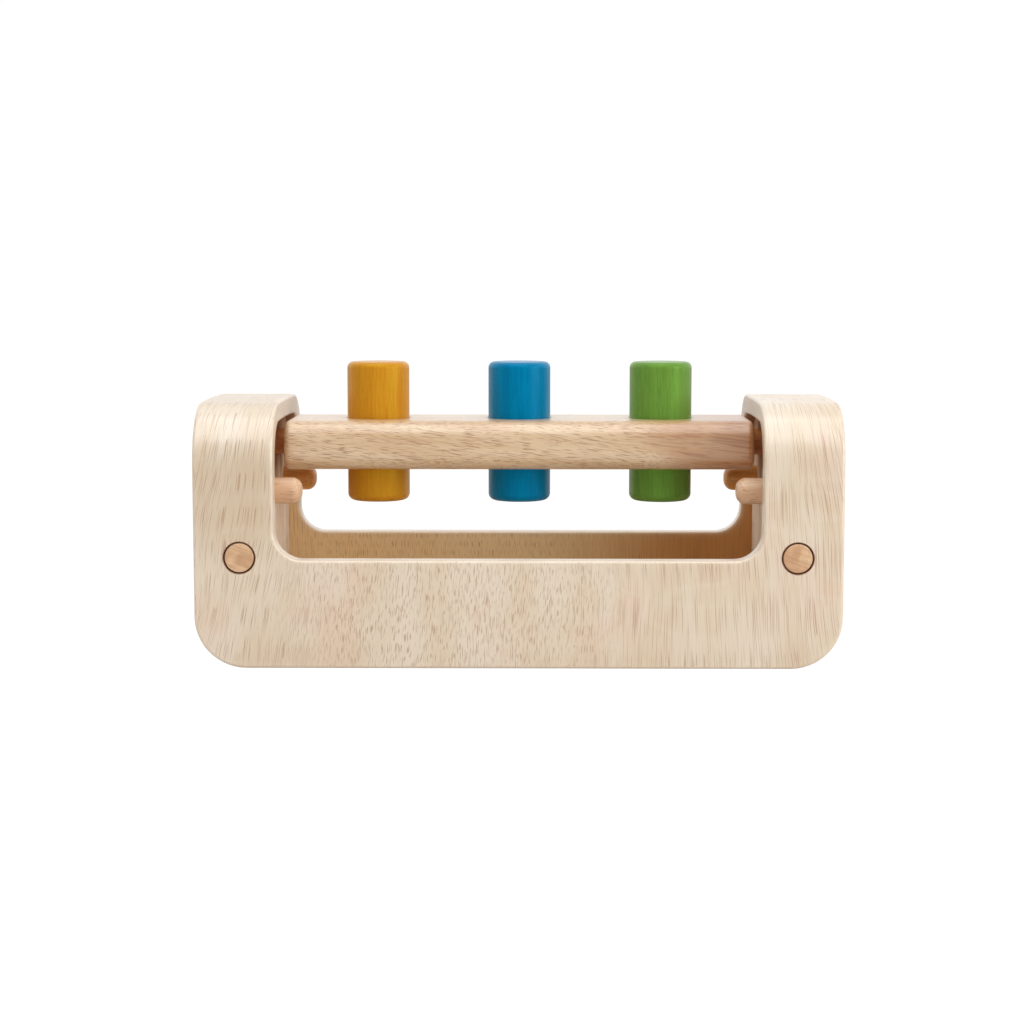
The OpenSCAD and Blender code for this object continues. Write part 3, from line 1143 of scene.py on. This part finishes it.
@dataclass
class Studio:
    """Pale floor, soft light and the photograph's camera."""

    camera_place: tuple[float, float, float] = (0.00758, -0.8893, 0.1526)
    camera_pitch: float = -6.25
    camera_heading: float = 0.68
    focal_px: float = 2200.0
    image_px: float = 1024.0
    sensor: float = 36.0
    floor_half: float = 6.0
    paper_glow: float = 1.05
    floor_grey: Colour = (0.71, 0.67, 0.63, 1.0)
    grey_drop: float = 0.0005
    glow_span: Span = (-0.2, 0.6)
    rear_glow: float = 1.03
    front_glow: float = 0.55
    lamps: tuple[Softbox, ...] = (
        Softbox("key_softbox", (1.25, -0.75, 0.5), (0.0, 0.0, 0.08), 1.0, 1.0, 2.75),
        Softbox("front_softbox", (-0.1, -0.7, 1.2), (0.0, 0.0, 0.08), 1.2, 0.9, 1.61),
        Softbox("top_softbox", (0.0, -0.05, 1.2), (0.0, -0.05, 0.05), 1.2, 0.35, 2.0),
    )

    def build(self) -> None:
        """Sets up the floor, the light and the camera."""
        self.lay_floor()
        self.light()
        self.aim_camera()

    def lay_floor(self) -> None:
        """Lays white paper that only the camera sees over a grey floor that only the light sees."""
        seen = Recipe("floor_paper", Base_Color=(0, 0, 0, 1), Roughness=1.0, Specular_IOR_Level=0.0,
                      Emission_Color=(1, 1, 1, 1), Emission_Strength=self.paper_glow)
        paper = self.square("floor_paper", 0.0, seen.material)
        paper.visible_diffuse = paper.visible_glossy = paper.visible_shadow = False
        lit = Recipe("floor_grey", Base_Color=self.floor_grey, Roughness=1.0, Specular_IOR_Level=0.0)
        grey = self.square("floor_grey", -self.grey_drop, lit.material)
        grey.visible_camera = False

    def square(self, name: str, level: float, material: bpy.types.Material) -> bpy.types.Object:
        """Lays one square of floor.

        Args:
            name: Its name.
            level: Its height, in metres.
            material: Its finish.

        Returns:
            The object, staged.
        """
        corners = np.array([(-1, -1), (1, -1), (1, 1), (-1, 1)]) * self.floor_half
        points = np.column_stack([corners, np.full(len(corners), level)])
        mesh = bpy.data.meshes.new(name)
        mesh.from_pydata(points.tolist(), [], [(0, 1, 2, 3)])
        mesh.materials.append(material)
        made = bpy.data.objects.new(name, mesh)
        bpy.context.scene.collection.objects.link(made)
        return made

    def light(self) -> None:
        """Sets the surround, bright behind the bench and dim in front of it, and hangs the softboxes."""
        scene = bpy.context.scene
        scene.world = bpy.data.worlds.new("studio")
        scene.world.use_nodes = True
        tree = scene.world.node_tree
        surround = tree.nodes["Background"]
        surround.inputs["Color"].default_value = (1, 1, 1, 1)
        parts = tree.nodes.new("ShaderNodeSeparateXYZ")
        tree.links.new(tree.nodes.new("ShaderNodeTexCoord").outputs["Generated"], parts.inputs[0])
        rear = tree.nodes.new("ShaderNodeMapRange")
        rear.interpolation_type = "SMOOTHSTEP"
        for name, value in zip(RANGE_SOCKETS, (*self.glow_span, self.front_glow, self.rear_glow)):
            rear.inputs[name].default_value = value
        tree.links.new(parts.outputs["Y"], rear.inputs["Value"])
        tree.links.new(rear.outputs["Result"], surround.inputs["Strength"])
        scene.view_settings.view_transform = "Standard"
        for lamp in self.lamps:
            lamp.hang()

    def aim_camera(self) -> None:
        """Puts the camera where the photograph was taken from."""
        data = bpy.data.cameras.new("camera")
        data.sensor_width = self.sensor
        data.lens = self.focal_px / self.image_px * self.sensor
        camera = bpy.data.objects.new("camera", data)
        camera.location = self.camera_place
        pitch, heading = math.radians(90 + self.camera_pitch), math.radians(self.camera_heading)
        camera.rotation_euler = Euler((pitch, 0, heading))
        bpy.context.scene.collection.objects.link(camera)
        bpy.context.scene.camera = camera


def main() -> None:
    """Builds the sub-assemblies in order, reports each piece and sets up the studio."""
    logging.basicConfig(level=logging.INFO, format="%(name)s: %(message)s")
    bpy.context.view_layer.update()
    for assembly in (BentShell(), EndFrames(), TurningBar(), Pegs()):
        for piece in assembly.build():
            LOG.info("%s: %d faces", piece.name, len(piece.data.polygons))
    Studio().build()


if __name__ == "__main__":
    main()
